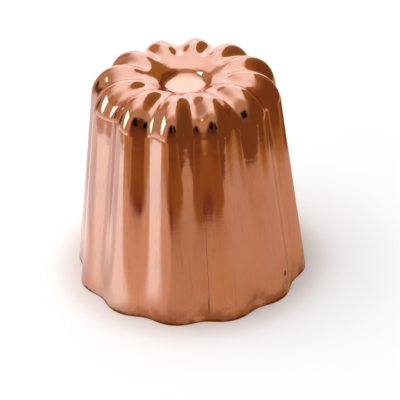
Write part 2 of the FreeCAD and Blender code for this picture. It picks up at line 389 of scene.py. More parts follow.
def fluted_skin(tree, given, profile):
    """The outside surface: one row of points for each point of the profile, closed on itself."""
    rows = add(
        tree, "GeometryNodeAttributeDomainSize", {"Geometry": profile}, component="CURVE"
    ).outputs["Point Count"]
    columns = calc(tree, "MULTIPLY", given["Flutes"], COLUMNS_PER_FLUTE)
    width = calc(tree, "ADD", columns, 1)
    grid = add(tree, "GeometryNodeMeshGrid", {"Vertices X": rows, "Vertices Y": width})

    index = add(tree, "GeometryNodeInputIndex").outputs[0]
    row = calc(tree, "FLOOR", calc(tree, "DIVIDE", calc(tree, "ADD", index, 0.5), width))
    column = calc(tree, "SUBTRACT", index, calc(tree, "MULTIPLY", row, width))
    angle = calc(tree, "MULTIPLY", calc(tree, "DIVIDE", column, columns), TURN)

    position = add(tree, "GeometryNodeInputPosition").outputs[0]
    step = groove_step(tree, given)
    place, down = (
        add(
            tree, "GeometryNodeSampleIndex", {"Geometry": profile, "Value": value, "Index": row},
            data_type="FLOAT_VECTOR", domain="POINT",
        ).outputs[0]
        for value in (position, step)
    )
    cosine = calc(tree, "COSINE", calc(tree, "MULTIPLY", angle, given["Flutes"]))
    wave = calc(tree, "MULTIPLY_ADD", cosine, 0.5, 0.5)
    flank = calc(tree, "MULTIPLY", wave, calc(tree, "SUBTRACT", 1, wave))
    fuller = calc(tree, "MULTIPLY_ADD", flank, given["Fullness"], wave)
    hollow = calc(tree, "SUBTRACT", 1, fuller)
    here = vector(tree, "ADD", place, vector(tree, "SCALE", down, hollow))
    turned = add(
        tree, "ShaderNodeVectorRotate", {"Vector": here, "Angle": angle}, rotation_type="Z_AXIS"
    ).outputs[0]
    laid = add(
        tree, "GeometryNodeSetPosition", {"Geometry": grid.outputs["Mesh"], "Position": turned}
    )
    closed = add(
        tree, "GeometryNodeMergeByDistance",
        {"Geometry": laid.outputs[0], "Distance": MERGE_DISTANCE},
    )
    return add(tree, "GeometryNodeFlipFaces", {"Mesh": closed.outputs[0]}).outputs[0]


def hand_finished(tree, given, skin):
    """The skin a little off its true form, but still flat along the rim."""
    position = add(tree, "GeometryNodeInputPosition").outputs[0]
    normal = add(tree, "GeometryNodeInputNormal").outputs["Normal"]
    waves = noise(tree, position, UNEVEN_SCALE, UNEVEN_DETAIL)
    height = parts_of(tree, position)[2]
    swing = calc(tree, "MULTIPLY", calc(tree, "SUBTRACT", waves, NOISE_MIDDLE), 2)
    most = calc(tree, "MULTIPLY", given["Unevenness"], between(tree, height, 0, UNEVEN_START))
    amount = calc(tree, "MULTIPLY", swing, most)
    moved = add(
        tree, "GeometryNodeSetPosition",
        {"Geometry": skin, "Offset": vector(tree, "SCALE", normal, amount)},
    )
    return moved.outputs[0]


def inward_step(tree, given):
    """From the outside to the inside of the sheet. Along the rim it stays in the rim's plane."""
    normal = add(tree, "GeometryNodeInputNormal").outputs["Normal"]
    x, y, _ = parts_of(tree, normal)
    level = combine(tree, x, y, 0)
    flat = measure(tree, "DOT_PRODUCT", level, level)
    along_rim = vector(tree, "SCALE", level, calc(tree, "DIVIDE", 1, flat))
    height = parts_of(tree, add(tree, "GeometryNodeInputPosition").outputs[0])[2]
    on_rim = calc(tree, "LESS_THAN", height, MERGE_DISTANCE)
    way = mixed(tree, on_rim, normal, along_rim, kind="VECTOR")
    return vector(tree, "SCALE", way, calc(tree, "MULTIPLY", given["Thickness"], -1))


def shell_tree():
    """Geometry nodes that turn the corners of the profile into the whole sheet."""
    tree = bpy.data.node_groups.new("fluted_shell", "GeometryNodeTree")
    add_sockets(tree, SHELL_INPUTS, "INPUT")
    add_sockets(tree, (("Sheet", GEOMETRY, None),), "OUTPUT")
    given = add(tree, "NodeGroupInput").outputs

    outer = fluted_skin(tree, given, rounded_profile(tree, given))
    outer = hand_finished(tree, given, outer)
    stepped = add(tree, "GeometryNodeCaptureAttribute", {"Geometry": outer}, domain="POINT")
    stepped.capture_items.new("VECTOR", "Step")
    feed(tree, stepped.inputs["Step"], inward_step(tree, given))
    outer, step = stepped.outputs["Geometry"], stepped.outputs["Step"]
    # Only the rim is open, so only its edges have one face.
    faces = add(tree, "GeometryNodeInputMeshEdgeNeighbors").outputs[0]
    on_rim = add(
        tree, "FunctionNodeCompare", {WHOLE_FIRST: faces, WHOLE_SECOND: 1},
        data_type="INT", operation="EQUAL",
    ).outputs[0]
    cut = add(
        tree, "GeometryNodeExtrudeMesh", {"Mesh": outer, "Selection": on_rim, "Offset Scale": 0.0},
        mode="EDGES",
    )
    crossed = add(
        tree, "GeometryNodeSetPosition",
        {"Geometry": cut.outputs["Mesh"], "Selection": cut.outputs["Top"], "Offset": step},
    )
    inner = add(tree, "GeometryNodeSetPosition", {"Geometry": outer, "Offset": step})
    turned_in = add(tree, "GeometryNodeFlipFaces", {"Mesh": inner.outputs[0]})
    lined = add(tree, "GeometryNodeCaptureAttribute", {"Geometry": turned_in.outputs[0]}, domain="FACE")
    lined.capture_items.new("BOOLEAN", "Lining")
    lined.inputs["Lining"].default_value = True

    joined = add(tree, "GeometryNodeJoinGeometry")
    tree.links.new(crossed.outputs[0], joined.inputs[0])
    tree.links.new(lined.outputs["Geometry"], joined.inputs[0])
    merged = add(
        tree, "GeometryNodeMergeByDistance",
        {"Geometry": joined.outputs[0], "Distance": MERGE_DISTANCE},
    )
    real = add(tree, "GeometryNodeRealizeInstances", {"Geometry": merged.outputs[0]})
    coppered = add(
        tree, "GeometryNodeSetMaterial", {"Geometry": real.outputs[0], "Material": given["Outside"]}
    )
    finished = add(
        tree, "GeometryNodeSetMaterial",
        {
            "Geometry": coppered.outputs[0],
            "Selection": lined.outputs["Lining"],
            "Material": given["Inside"],
        },
    )
    add(tree, "NodeGroupOutput", {"Sheet": finished.outputs[0]})
    return tree


def placed(name, data):
    """A new object in the scene."""
    made = bpy.data.objects.new(name, data)
    bpy.context.scene.collection.objects.link(made)
    return made


def set_inputs(modifier, values):
    """Sets a modifier's inputs by their sockets' identifiers."""
    for item in modifier.node_group.interface.items_tree:
        if item.in_out == "INPUT" and item.name in values:
            modifier[item.identifier] = values[item.name]


def rim_bevel(piece, width):
    bevel = piece.modifiers.new("rim_edges", "BEVEL")
    bevel.width = width
    bevel.segments = RIM_BEVEL_STEPS
    bevel.limit_method = "ANGLE"
    bevel.angle_limit = RIM_BEVEL_ANGLE


def make_plain(piece):
    """Gives the piece what its modifiers make as its own mesh."""
    bpy.context.view_layer.update()
    evaluated = piece.evaluated_get(bpy.context.evaluated_depsgraph_get())
    mesh = bpy.data.meshes.new_from_object(evaluated)
    mesh.name = piece.name
    piece.modifiers.clear()
    piece.data = mesh
    mesh.shade_smooth()
    # The profile had no material, which leaves an empty slot in front of the real ones.
    while mesh.materials and mesh.materials[0] is None:
        mesh.materials.pop(index=0)


# Materials.

def new_material(name):
    material = bpy.data.materials.new(name)
    material.use_nodes = True
    tree = material.node_tree
    tree.nodes.clear()
    return material, tree


def grouped(tree, name, group, inputs):
    """Places a shader group under a name, with its own values."""
    made = add(tree, "ShaderNodeGroup", node_tree=group)
    made.name = name
    for key, value in inputs.items():
        feed(tree, made.inputs[key], value)
    return made.outputs


def opaque(colour):
    return (*colour, 1.0)


def group_of(name, sockets, results):
    """An empty shader group with its sockets, and its inputs by name."""
    tree = bpy.data.node_groups.new(name, "ShaderNodeTree")
    add_sockets(tree, sockets, "INPUT")
    add_sockets(tree, [(result, NUMBER, None) for result in results], "OUTPUT")
    return tree, add(tree, "NodeGroupInput").outputs


def layered(tree, colour, *layers):
    """A colour with others laid over it, each through its mask."""
    for mask, over in layers:
        colour = mixed(tree, mask, colour, opaque(over))
    return colour


def added_up(tree, total, *patterns):
    """A total with each pattern added to it, times its share."""
    for pattern, share in patterns:
        total = calc(tree, "MULTIPLY_ADD", pattern, share, total)
    return total


def finish_material(tree, shader):
    add(tree, "ShaderNodeOutputMaterial", {"Surface": shader.outputs[0]})


def finish_metal(tree, colour, rough, relief, strength, depth):
    """Bare metal with its colour, its roughness and its relief, whose depth is in metres."""
    bump = add(tree, "ShaderNodeBump", {"Height": relief, "Strength": strength, "Distance": depth})
    shader = add(
        tree, "ShaderNodeBsdfPrincipled",
        {"Base Color": colour, "Metallic": 1.0, "Roughness": rough, "Normal": bump.outputs[0]},
    )
    finish_material(tree, shader)


# How finely each pattern breaks up, for two of them how rough its noise is, and how much finer
# ripples are than clouds.
LINE_DETAIL, STREAK_DETAIL, RING_DETAIL = 2.0, 3.0, 1.0
PATCH_DETAIL, PATCH_ROUGHNESS = 5.0, 0.6
CLOUD_DETAIL, CLOUD_ROUGHNESS = 3.0, 0.45
RIPPLE_DETAIL = 1.0
RIPPLES_PER_CLOUD = 3.2

# Where the noise gives nothing and where it gives its full share, in patches of oxide and in clouds.
PATCH_RANGE = (0.32, 0.68)
CLOUD_RANGE = (0.35, 0.68)

# The cut edge's dark band: its least height as a share of the edge, and its fully dark share.
CUT_LEAST = 0.5
CUT_CORE = 0.4


def stretched_noise(tree, position, across, upwards, detail):
    """Noise from 0 to 1, drawn out along the height or around it."""
    scaled = vector(tree, "MULTIPLY", position, combine(tree, across, across, upwards))
    return noise(tree, scaled, 1.0, detail)


def lines_group():
    """Long fine lines up the wall from drawing, and finer rings around it from spinning."""
    sockets = (
        POSITION,
        ("Lines", NUMBER, 3400.0),
        ("Streaks", NUMBER, 900.0),
        ("Upwards", NUMBER, 14.0),
        ("Rings", NUMBER, 3800.0),
        ("Around", NUMBER, 110.0),
    )
    tree, given = group_of("draw_lines", sockets, ("Lines", "Streaks", "Rings"))
    place, upwards = given["Position"], given["Upwards"]
    patterns = {
        "Lines": stretched_noise(tree, place, given["Lines"], upwards, LINE_DETAIL),
        "Streaks": stretched_noise(tree, place, given["Streaks"], upwards, STREAK_DETAIL),
        "Rings": stretched_noise(tree, place, given["Around"], given["Rings"], RING_DETAIL),
    }
    results = {name: calc(tree, "SUBTRACT", made, NOISE_MIDDLE) for name, made in patterns.items()}
    add(tree, "NodeGroupOutput", results)
    return tree


def rim_group():
    """Oxide that grows from the cut rim up the sheet, in an uneven line, darkest at the cut. It is
    partly painted shade: it is stronger and reaches higher on the side turned away from the soft light.
    """
    sockets = (
        POSITION,
        ("Height", NUMBER, 0.0060),
        ("Edge", NUMBER, 0.0008),
        ("Patch scale", NUMBER, 240.0),
        ("Darker side", VECTOR, (0.85, -0.53, 0.0)),
        ("Side reach", NUMBER, 0.022),
    )
    tree, given = group_of("rim_oxide_and_shade", sockets, ("Oxide", "Cut"))
    place = given["Position"]
    height = parts_of(tree, place)[2]
    aside = measure(tree, "DOT_PRODUCT", place, given["Darker side"])
    opposite = calc(tree, "MULTIPLY", given["Side reach"], -1)
    darker_side = between(tree, aside, opposite, given["Side reach"])
    patches = noise(tree, place, given["Patch scale"], PATCH_DETAIL, PATCH_ROUGHNESS)
    uneven = between(tree, patches, *PATCH_RANGE)
    reach = calc(tree, "MULTIPLY", given["Height"], calc(tree, "MULTIPLY", uneven, darker_side))
    reach = calc(tree, "ADD", reach, given["Edge"])
    cut = calc(tree, "MULTIPLY", given["Edge"], calc(tree, "ADD", uneven, CUT_LEAST))
    add(
        tree, "NodeGroupOutput",
        {
            "Oxide": calc(tree, "MULTIPLY", between(tree, height, reach, 0), darker_side),
            "Cut": between(tree, height, cut, calc(tree, "MULTIPLY", cut, CUT_CORE)),
        },
    )
    return tree


def haze_group():
    """Soft clouds of uneven polish and handling, and the finer ripples that polishing leaves."""
    sockets = (POSITION, ("Scale", NUMBER, 130.0))
    tree, given = group_of("polish_haze", sockets, ("Clouds", "Ripples"))
    place = given["Position"]
    clouds = noise(tree, place, given["Scale"], CLOUD_DETAIL, CLOUD_ROUGHNESS)
    finer = calc(tree, "MULTIPLY", given["Scale"], RIPPLES_PER_CLOUD)
    ripples = calc(tree, "SUBTRACT", noise(tree, place, finer, RIPPLE_DETAIL), NOISE_MIDDLE)
    results = {"Clouds": between(tree, clouds, *CLOUD_RANGE), "Ripples": ripples}
    add(tree, "NodeGroupOutput", results)
    return tree


def scratch_group():
    """One straight mark up the wall, from the direction it lies in on the mould."""
    sockets = (
        POSITION,
        ("Outwards", VECTOR, None),
        ("Across", VECTOR, None),
        ("Bottom", NUMBER, 0.0),
        ("Top", NUMBER, 0.0),
        ("Half width", NUMBER, 0.0),
        ("Fading", NUMBER, 0.0),
    )
    tree, given = group_of("fine_scratch", sockets, ("Mark",))
    across, outwards = (
        measure(tree, "DOT_PRODUCT", given["Position"], given[name]) for name in ("Across", "Outwards")
    )
    height = parts_of(tree, given["Position"])[2]
    thin = between(tree, calc(tree, "ABSOLUTE", across), given["Half width"], 0)
    rising = between(tree, calc(tree, "SUBTRACT", height, given["Bottom"]), 0, given["Fading"])
    falling = between(tree, calc(tree, "SUBTRACT", given["Top"], height), 0, given["Fading"])
    here = calc(tree, "GREATER_THAN", outwards, 0)
    mark = calc(tree, "MULTIPLY", calc(tree, "MULTIPLY", rising, falling), thin)
    add(tree, "NodeGroupOutput", {"Mark": calc(tree, "MULTIPLY", mark, here)})
    return tree


# Marks of use up the wall: degrees around the mould, then bottom, top and half width in metres,
# and strength.
SCRATCHES = (
    ("long_scratch", -71.5, 0.0015, 0.0275, 0.00010, 0.75),
    ("scratch_foot", -72.0, 0.0010, 0.0075, 0.00018, 0.9),
    ("faint_left", -84.75, 0.0120, 0.0200, 0.00008, 0.4),
    ("faint_far_left", -113.75, 0.0060, 0.0160, 0.00009, 0.45),
    ("faint_right", -58.5, 0.0015, 0.0110, 0.00008, 0.45),
    ("faint_middle", -64.0, 0.0020, 0.0130, 0.00007, 0.35),
)
SCRATCH_FADING = 0.003

# Two small round marks near the rim.
PIT = Vector((0.02396, -0.01156, 0.0056))
PIT_RADIUS = 0.0011
SMUDGE = Vector((0.01768, -0.01879, 0.0030))
SMUDGE_RADIUS = 0.0011
SMUDGE_SHARE = 0.25

# The share of a round mark's radius that is dark throughout, and how ragged its edge is.
SPOT_CORE = 0.35
SPOT_RAGGEDNESS = 1.5


def scratches(tree, group, position):
    """All the straight marks together."""
    total = 0.0
    for name, degrees, bottom, top, half_width, strength in SCRATCHES:
        angle = math.radians(degrees)
        mark = grouped(
            tree, name, group,
            {
                "Position": position,
                "Outwards": (math.cos(angle), math.sin(angle), 0.0),
                "Across": (-math.sin(angle), math.cos(angle), 0.0),
                "Bottom": bottom,
                "Top": top,
                "Half width": half_width,
                "Fading": SCRATCH_FADING,
            },
        )["Mark"]
        total = calc(tree, "MAXIMUM", calc(tree, "MULTIPLY", mark, strength), total)
    return total


def spot(tree, position, centre, radius, ripple):
    """A small round mark with a ragged edge."""
    away = measure(tree, "DISTANCE", position, centre)
    ragged = calc(tree, "MULTIPLY_ADD", ripple, radius * SPOT_RAGGEDNESS, away)
    return between(tree, ragged, radius, radius * SPOT_CORE)


# Heights above the rim, in metres: the polish starts and is full, the lines fade out and end.
POLISH_STARTS, POLISH_FULL = 0.012, 0.042
LINES_FADE, LINES_END = 0.034, 0.043

# The share of the lines' colour in the streaks and in the fine lines, and the noise values that it
# grows between.
STREAK_SHARE, STREAK_RANGE = 0.30, (0.0, 0.3)
LINE_SHARE, LINE_RANGE = 0.34, (0.05, 0.32)

# The share of tarnish on the cut edge.
CUT_SHARE = 0.85

# What each pattern adds to the roughness.
HAZE_ROUGHNESS = 0.03
STREAK_ROUGHNESS = 0.12
STAIN_ROUGHNESS = 0.12
MARK_ROUGHNESS = 0.3

# How high each pattern stands in the relief, and how deep the relief is in metres.
LINE_RELIEF = 1.4
RING_RELIEF = 0.5
CROWN_RIPPLES, WALL_RIPPLES = 4.0, 1.4
MARK_RELIEF = -4.0
RELIEF_STRENGTH, RELIEF_DEPTH = 0.3, 0.00002


def copper(finish, groups):
    """Mirror-polished copper at the crown that turns to a drawn satin low on the wall."""
    material, tree = new_material("polished_copper")
    position = add(tree, "ShaderNodeTexCoord").outputs["Object"]
    height = parts_of(tree, position)[2]
    drawn = between(tree, height, POLISH_FULL, POLISH_STARTS)
    on_wall = between(tree, height, LINES_END, LINES_FADE)
    lines = grouped(tree, "lines", groups["lines"], {"Position": position})
    rim = grouped(tree, "oxide", groups["rim"], {"Position": position})
    haze = grouped(tree, "haze", groups["haze"], {"Position": position})

    fine = calc(tree, "MULTIPLY", lines["Lines"], on_wall)
    broad = calc(tree, "MULTIPLY", lines["Streaks"], on_wall)
    ringed = calc(tree, "MULTIPLY", lines["Rings"], on_wall)

    marks = scratches(tree, groups["scratch"], position)
    pit = spot(tree, position, PIT, PIT_RADIUS, haze["Ripples"])
    smudge = spot(tree, position, SMUDGE, SMUDGE_RADIUS, haze["Ripples"])
    smudge = calc(tree, "MULTIPLY", smudge, SMUDGE_SHARE)
    marks = calc(tree, "MAXIMUM", marks, calc(tree, "MAXIMUM", pit, smudge))
    dark = calc(tree, "MAXIMUM", marks, calc(tree, "MULTIPLY", rim["Cut"], CUT_SHARE))
    # The brown above the rim: partly real oxide, partly painted shade at the foot.
    stain_and_shade = calc(tree, "MULTIPLY", rim["Oxide"], finish.rim_stain_and_shade)
    colour = layered(
        tree, opaque(finish.polished_colour),
        (drawn, finish.drawn_colour),
        (calc(tree, "MULTIPLY", haze["Clouds"], finish.haze), finish.haze_colour),
        (calc(tree, "MULTIPLY", between(tree, broad, *STREAK_RANGE), STREAK_SHARE), finish.line_colour),
        (calc(tree, "MULTIPLY", between(tree, fine, *LINE_RANGE), LINE_SHARE), finish.line_colour),
        (stain_and_shade, finish.stain_and_shade_colour),
        (dark, finish.tarnish_colour),
    )
    rough = added_up(
        tree, finish.polished_roughness,
        (drawn, finish.drawn_roughness - finish.polished_roughness),
        (haze["Clouds"], HAZE_ROUGHNESS),
        (broad, STREAK_ROUGHNESS),
        (stain_and_shade, STAIN_ROUGHNESS),
        (dark, MARK_ROUGHNESS),
    )
    uneven = calc(tree, "MULTIPLY_ADD", on_wall, WALL_RIPPLES - CROWN_RIPPLES, CROWN_RIPPLES)
    relief = added_up(
        tree, 0.0,
        (fine, LINE_RELIEF), (ringed, RING_RELIEF), (haze["Ripples"], uneven), (dark, MARK_RELIEF),
    )
    finish_metal(tree, colour, rough, relief, RELIEF_STRENGTH, RELIEF_DEPTH)
    return material


# The tin inside: its wiping marks, how dark they and its clouds are, and the oxide at the rim.
WIPE_STREAKS, WIPE_UPWARDS = 420.0, 60.0
WIPE_DARKNESS = 0.72
WIPE_ROUGHNESS = 0.3
WIPE_STRENGTH, WIPE_DEPTH = 0.2, 0.0001
TIN_CLOUD_SHARE = 0.25
TIN_OXIDE_HEIGHT = 0.0008
TIN_OXIDE_SHARE = 0.6


def tinned(finish, groups):
    """Hand-wiped tin on the inside, dull and a little streaky."""
    material, tree = new_material("tin_lining")
    position = add(tree, "ShaderNodeTexCoord").outputs["Object"]
    wiped = grouped(
        tree, "wiping", groups["lines"],
        {"Position": position, "Streaks": WIPE_STREAKS, "Upwards": WIPE_UPWARDS},
    )["Streaks"]
    haze = grouped(tree, "haze", groups["haze"], {"Position": position})["Clouds"]
    oxide = grouped(
        tree, "oxide", groups["rim"], {"Position": position, "Height": TIN_OXIDE_HEIGHT}
    )["Oxide"]
    darker = tuple(part * WIPE_DARKNESS for part in finish.lining_colour)
    colour = layered(
        tree, opaque(finish.lining_colour),
        (calc(tree, "ADD", wiped, NOISE_MIDDLE), darker),
        (calc(tree, "MULTIPLY", haze, TIN_CLOUD_SHARE), darker),
        (calc(tree, "MULTIPLY", oxide, TIN_OXIDE_SHARE), finish.tarnish_colour),
    )
    rough = added_up(tree, finish.lining_roughness, (wiped, WIPE_ROUGHNESS))
    finish_metal(tree, colour, rough, wiped, WIPE_STRENGTH, WIPE_DEPTH)
    return material


class MOULD_OT_shell(bpy.types.Operator):
    """Makes the fluted sheet, copper outside and tinned inside, in place of the plain solid"""

    bl_idname = "mould.shell"
    bl_label = "Fluted mould"

    def execute(self, context):
        sizes = context.scene.mould_sizes
        finish = context.scene.copper_finish
        places, radii, wall_length, fading_length = corners(sizes)

        mesh = bpy.data.meshes.new("mould_profile")
        mesh.from_pydata(places, [(n, n + 1) for n in range(len(places) - 1)], [])
        mesh.attributes.new(CORNER_RADIUS, "FLOAT", "POINT").data.foreach_set("value", radii)
        mesh.attributes.new(CORNER_COUNT, "INT", "POINT").data.foreach_set("value", CORNER_STEPS)
        piece = placed("copper_mould", mesh)

        groups = {
            "lines": lines_group(), "rim": rim_group(), "haze": haze_group(),
            "scratch": scratch_group(),
        }
        modifier = piece.modifiers.new("fluted_shell", "NODES")
        modifier.node_group = shell_tree()
        set_inputs(
            modifier,
            {
                "Flutes": float(sizes.flute_count),
                "Wall length": wall_length,
                "Fading length": fading_length,
                "Depth at the rim": sizes.rim_flute_depth,
                "Depth at the shoulder": sizes.shoulder_flute_depth,
                "Fade": sizes.flute_fade,
                "Fullness": sizes.ridge_fullness,
                "Thickness": sizes.sheet_thickness,
                "Unevenness": sizes.unevenness,
                "Outside": copper(finish, groups),
                "Inside": tinned(finish, groups),
            },
        )
        rim_bevel(piece, sizes.rim_rounding)
        make_plain(piece)
        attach(piece, "root")
        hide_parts(NODE)
        return {"FINISHED"}


# The studio. Its cards are soft-edged shapes with four corners, each laid over the ones before.
# Around the mould a corner is an angle to the right of the camera's side and an angle up, and
# softness is in degrees. On the table it is millimetres to the right and away from the camera.

WHITE = (1.0, 1.0, 1.0)
SOFTBOX = (2.5, 2.5, 2.5)
NEAR_BLACK = (0.006, 0.003, 0.003)
PALE_GREY = (0.78, 0.76, 0.80)
PAPER_WHITE = (1.03, 1.07, 1.12)
LIT_WHITE = (1.35, 1.42, 1.50)
PALE_PINK = (0.80, 0.65, 0.60)
DUSTY_PINK = (0.66, 0.49, 0.42)
LIGHT_TAN = (0.72, 0.49, 0.34)
TAN = (0.60, 0.40, 0.27)
DULL_TAN = (0.49, 0.32, 0.20)
WOOD_BROWN = (0.58, 0.345, 0.18)
ORANGE_BROWN = (0.47, 0.24, 0.075)
AMBER_BROWN = (0.39, 0.185, 0.04)
RUST = (0.30, 0.11, 0.026)
DARK_BROWN = (0.20, 0.07, 0.02)
UMBER = (0.11, 0.035, 0.012)
MAROON = (0.13, 0.0, 0.0)

ROOM_CARDS = (
    ("back_screen", PAPER_WHITE, 24, ((150, 74), (-150, 74), (-160, 5), (160, 5))),
    ("bright_screen", LIT_WHITE, 12, ((166, 42), (-166, 42), (-166, 24), (166, 24))),
    ("front_screen", WOOD_BROWN, 30, ((-62, 67), (62, 67), (80, -20), (-80, -20))),
    ("left_screen", DUSTY_PINK, 32, ((-62, 68), (-157, 16), (-150, -20), (-50, -20))),
    ("right_screen", WOOD_BROWN, 20, ((40, 70), (130, 68), (150, -20), (30, -20))),
    ("left_corner", ORANGE_BROWN, 8, ((-126, 38), (-153, 38), (-156, -4), (-126, -4))),
    ("left_wall", DULL_TAN, 14, ((-85, 56), (-128, 44), (-150, -20), (-70, -20))),
    ("front_wall", DULL_TAN, 14, ((-52, 44), (50, 48), (60, -20), (-60, -20))),
    ("left_front", WOOD_BROWN, 6, ((-64, -20), (-60, 46), (-22, 46), (-28, -20))),
    ("right_high", ORANGE_BROWN, 3, ((50, 62), (108, 69), (114, -20), (28, -20))),
    ("right_behind", AMBER_BROWN, 3, ((90, 71), (142, 61), (146, -20), (98, -20))),
    ("far_behind", AMBER_BROWN, 3, ((125, 65), (157, 46), (160, -20), (128, -20))),
    ("right_low", DARK_BROWN, 36, ((20, 42), (140, 40), (150, -20), (10, -20))),
    ("dim_front", UMBER, 14, ((-32, 38), (16, 40), (24, -20), (-36, -20))),
    ("low_front", DARK_BROWN, 28, ((-34, 4), (24, 4), (30, -20), (-36, -20))),
    ("left_low", ORANGE_BROWN, 12, ((-62, -1), (-32, -1), (-32, -20), (-64, -20))),
    ("left_floor", PALE_PINK, 10, ((-112, -3), (-44, -3), (-44, -20), (-112, -20))),
    ("left_floor_end", PAPER_WHITE, 12, ((-112, -9), (-46, -9), (-46, -20), (-112, -20))),
    ("lamp_stand", UMBER, 8, ((-123, 14), (-107, 14), (-106, -6), (-123, -6))),
    ("camera_body", NEAR_BLACK, 7, ((-23, 43), (-2, 43), (-3, 19), (-22, 19))),
    ("tripod", NEAR_BLACK, 5, ((8, 43), (16, 42), (24, 20), (14, 20))),
    ("left_high", ORANGE_BROWN, 8, ((-68, 36), (-66, 58), (-42, 58), (-44, 38))),
    ("softbox", SOFTBOX, 4, ((-71, 0), (-103, 39), (-60, 38), (-67, 6))),
)
TABLE_CARDS = (
    ("left_back", PALE_GREY, 10, ((-260, -14), (-10, -14), (-10, 260), (-260, 260))),
    ("left_back_end", DULL_TAN, 25, ((-90, 95), (-135, 70), (-260, 260), (-90, 260))),
    ("back", PAPER_WHITE, 14, ((-50, 0), (22, 0), (75, 120), (-60, 260))),
    ("left", LIGHT_TAN, 8, ((-8, -10), (-27, -94), (-110, -94), (-60, -10))),
    ("right", TAN, 20, ((30, -60), (110, -70), (110, 60), (45, 30))),
    ("sheet", PAPER_WHITE, 12, ((-260, -10), (-16, -12), (-22, -34), (-260, -112))),
    ("beyond_sheet", TAN, 12, ((-134, 20), (-130, -60), (-260, -150), (-260, 40))),
    ("left_end", ORANGE_BROWN, 40, ((-60, -100), (-260, -75), (-260, -260), (-60, -260))),
    ("front_end", RUST, 8, ((-60, -92), (62, -98), (62, -260), (-80, -260))),
    ("front_far", DARK_BROWN, 34, ((-70, -152), (40, -152), (60, -260), (-90, -260))),
    ("right_back", DARK_BROWN, 12, ((52, 62), (105, 20), (150, 40), (60, 110))),
    ("right_edge", AMBER_BROWN, 36, ((98, 46), (112, -84), (260, -84), (260, 80))),
    ("right_end", DARK_BROWN, 28, ((120, 20), (130, -80), (260, -80), (260, 40))),
    ("far_corner", DARK_BROWN, 10, ((62, -118), (140, -80), (260, -260), (62, -260))),
    ("maroon_block", MAROON, 4, ((-40, -90), (-18, -90), (-18, -108), (-40, -108))),
)

# The table's painted shade at the mould's foot, and the floor's painted shade with its warm tint. Both
# are full at the first distance from the axis, and the table's shade has ended at the second.
FOOT_SHADE = (0.34, 0.19, 0.08)
FOOT_SHADE_SHARE = 0.35
FOOT_INNER, FOOT_OUTER = 0.026, 0.037

CARD_EDGES = 4
MILLIMETRE = 0.001

# The directions of the room's cards start from this height on the axis, and the table lies this
# far above the floor.
CROWN_HEIGHT = 0.045
TABLE_LIFT = 0.0002

AROUND_STEPS = 72
UP_STEPS = 18
NEAREST_SEEN = 0.01


def toward(turn, direction, height_angle=0.0):
    """Unit vector at an angle to the right of the camera's side, and an angle up."""
    angle = turn - RIGHT_ANGLE + direction
    flat = math.cos(height_angle)
    return Vector((math.cos(angle) * flat, math.sin(angle) * flat, math.sin(height_angle)))


def room_edges(points):
    """Planes through neighbouring corners, each turned to hold the card on its inner side."""
    places = [toward(0.0, math.radians(side), math.radians(rise)) for side, rise in points]
    return edges(places, lambda plane: plane.length)


def table_edges(points):
    """Lines through neighbouring corners, each turned to hold the card on its inner side."""
    places = [Vector((side * MILLIMETRE, away * MILLIMETRE, 1.0)) for side, away in points]
    return edges(places, lambda line: line.xy.length)


def edges(places, size):
    """What passes through each corner and the next, scaled so that its distances are true."""
    middle = sum(places, Vector())
    made = []
    for here, after in zip(places, places[1:] + places[:1]):
        edge = here.cross(after)
        edge /= size(edge)
        made.append(edge if edge.dot(middle) > 0 else -edge)
    return made


def card_group():
    """One soft-edged card, laid over the colour behind it."""
    tree = bpy.data.node_groups.new("soft_card", "ShaderNodeTree")
    edge_names = [f"Edge {n + 1}" for n in range(CARD_EDGES)]
    sockets = [
        ("Behind", COLOUR, None), ("Card", COLOUR, None),
        ("Place", VECTOR, None), ("Softness", NUMBER, 0.0),
    ]
    add_sockets(tree, sockets + [(name, VECTOR, None) for name in edge_names], "INPUT")
    add_sockets(tree, (("Colour", COLOUR, None),), "OUTPUT")
    given = add(tree, "NodeGroupInput").outputs
    half = calc(tree, "MULTIPLY", given["Softness"], 0.5)
    outer = calc(tree, "MULTIPLY", half, -1)
    mask = 1.0
    for name in edge_names:
        inside = measure(tree, "DOT_PRODUCT", given["Place"], given[name])
        mask = calc(tree, "MULTIPLY", between(tree, inside, outer, half), mask)
    add(tree, "NodeGroupOutput", {"Colour": mixed(tree, mask, given["Behind"], given["Card"])})
    return tree


def set_out(tree, group, cards, colour, place, find_edges, unit):
    """The cards one over the other, as one colour."""
    colour = opaque(colour)
    for name, shade, softness, points in cards:
        inputs = {"Behind": colour, "Card": opaque(shade), "Place": place, "Softness": softness * unit}
        inputs.update((f"Edge {n + 1}", edge) for n, edge in enumerate(find_edges(points)))
        colour = grouped(tree, name, group, inputs)["Colour"]
    return colour


def camera_facing(tree, studio, centre_height):
    """Object coordinates, turned to the camera's side, counted from a height on the axis."""
    position = add(tree, "ShaderNodeTexCoord").outputs["Object"]
    return add(
        tree, "ShaderNodeMapping",
        {
            "Vector": position,
            "Location": (0.0, 0.0, -centre_height),
            "Rotation": (0.0, 0.0, -studio.camera_turn),
        },
    ).outputs[0]


def glowing(name, find_colour):
    material, tree = new_material(name)
    finish_material(tree, add(tree, "ShaderNodeEmission", {"Color": find_colour(tree)}))
    return material


def room_material(studio, group):
    def find_colour(tree):
        place = camera_facing(tree, studio, CROWN_HEIGHT)
        direction = add(tree, "ShaderNodeVectorMath", {0: place}, operation="NORMALIZE").outputs[0]
        return set_out(
            tree, group, ROOM_CARDS, studio.overhead_colour, direction, room_edges, math.radians(1)
        )

    return glowing("room_cards", find_colour)


